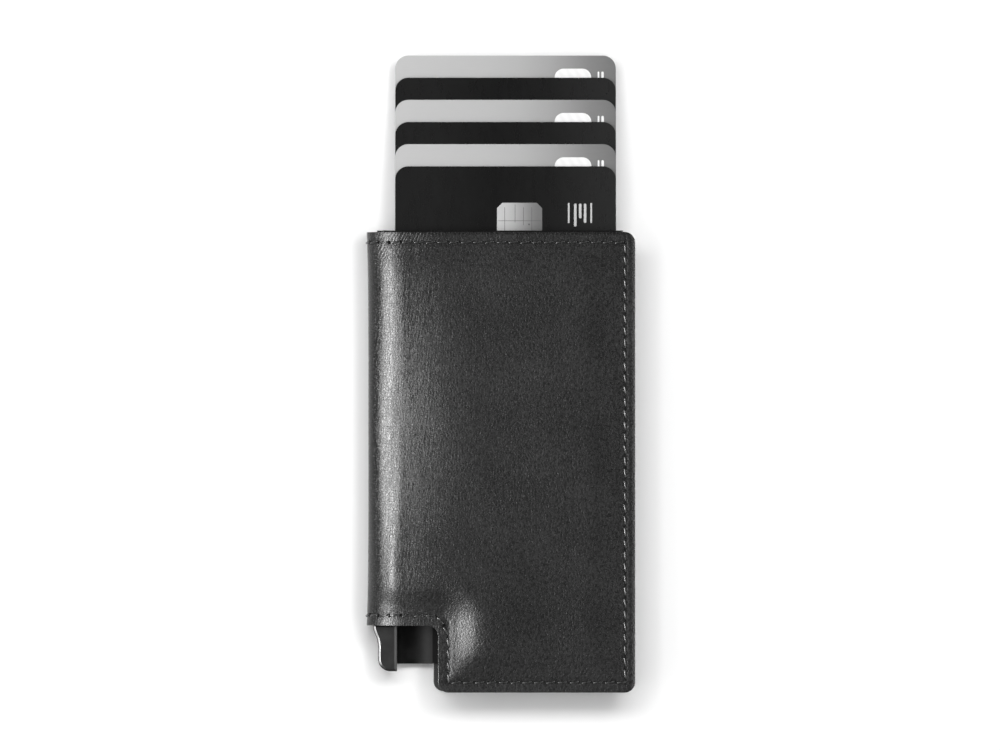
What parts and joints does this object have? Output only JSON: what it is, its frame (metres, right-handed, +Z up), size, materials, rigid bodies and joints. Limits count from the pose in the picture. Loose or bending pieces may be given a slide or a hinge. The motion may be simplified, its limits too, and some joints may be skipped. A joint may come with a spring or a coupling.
{
  "type": "card wallet",
  "caption": "Slim black leather bifold wallet round a metal card case; a thumb lever at a cut-away corner fans the cards out of the open end.",
  "frame": {"origin": "centre of the back cover's outer face, which the wallet lies on", "axes": "+Z up through the front cover, +Y out of the card mouth, +X away from the spine towards the open side"},
  "size_m": [0.0656, 0.1557, 0.0135],
  "materials": {
    "leather": "fine-grained black, satin",
    "inner_leather": "smooth black, matt",
    "lining": "woven, matt",
    "case_metal": "anodised dark grey, satin",
    "base_plastic": "moulded, fine texture",
    "felt": "felt",
    "steel": "turned",
    "trigger_metal": "anodised dark grey with bright bevels",
    "light_card": "silver-grey, brushed look",
    "dark_card": "black, satin",
    "card_patch": "pale, smooth",
    "chip_metal": "satin nickel contacts"
  },
  "bodies": {
    "back": {"back_leather": "leather", "back_lining": "lining", "case_shell": "case_metal", "base_plate": "base_plastic", "card_guide": "base_plastic", "felt_rear": "felt", "felt_front": "felt", "pivot_pin": "steel", "return_spring": "steel"},
    "spine": {"spine_leather": "leather", "spine_lining": "lining"},
    "cover": {"cover_leather": "leather", "cover_lining": "lining", "pocket_tall": "inner_leather", "pocket_short": "inner_leather"},
    "trigger": {"ejector_lever": "base_plastic", "trigger_cap": "trigger_metal"},
    "card_1_body": {"card_1": "light_card", "card_1_patch": "card_patch"},
    "card_2_body": {"card_2": "dark_card"},
    "card_3_body": {"card_3": "light_card", "card_3_patch": "card_patch"},
    "card_4_body": {"card_4": "dark_card"},
    "card_5_body": {"card_5": "light_card", "card_5_patch": "card_patch"},
    "card_6_body": {"card_6": "dark_card", "card_6_chip": "chip_metal"}
  },
  "joints": [
    {"name": "spine_fold", "type": "hinge", "parent": "back", "child": "spine", "pos_m": [-0.0328, 0, 0], "axis": [0, -1, 0], "range_deg": [0, 90]},
    {"name": "cover_fold", "type": "hinge", "parent": "spine", "child": "cover", "pos_m": [-0.0328, 0, 0.01348], "axis": [0, -1, 0], "range_deg": [0, 90]},
    {"name": "trigger_press", "type": "hinge", "parent": "back", "child": "trigger", "pos_m": [-0.0266, -0.034, 0.006], "axis": [0, 0, 1], "range_deg": [0, 57.1], "stiffness_Nm_per_rad": 0.03, "springref_deg": -20.05},
    {"name": "card_1_slide", "type": "slide", "parent": "back", "child": "card_1_body", "axis": [0, 1, 0], "range_m": [-0.0443, 0.0407]},
    {"name": "card_2_slide", "type": "slide", "parent": "back", "child": "card_2_body", "axis": [0, 1, 0], "range_m": [-0.03886, 0.04614]},
    {"name": "card_3_slide", "type": "slide", "parent": "back", "child": "card_3_body", "axis": [0, 1, 0], "range_m": [-0.03342, 0.05158]},
    {"name": "card_4_slide", "type": "slide", "parent": "back", "child": "card_4_body", "axis": [0, 1, 0], "range_m": [-0.02798, 0.05702]},
    {"name": "card_5_slide", "type": "slide", "parent": "back", "child": "card_5_body", "axis": [0, 1, 0], "range_m": [-0.02254, 0.06246]},
    {"name": "card_6_slide", "type": "slide", "parent": "back", "child": "card_6_body", "axis": [0, 1, 0], "range_m": [-0.0171, 0.0679]}
  ],
  "couplings": [
    {"joint": "cover_fold", "follows": "spine_fold", "ratio": 1}
  ]
}
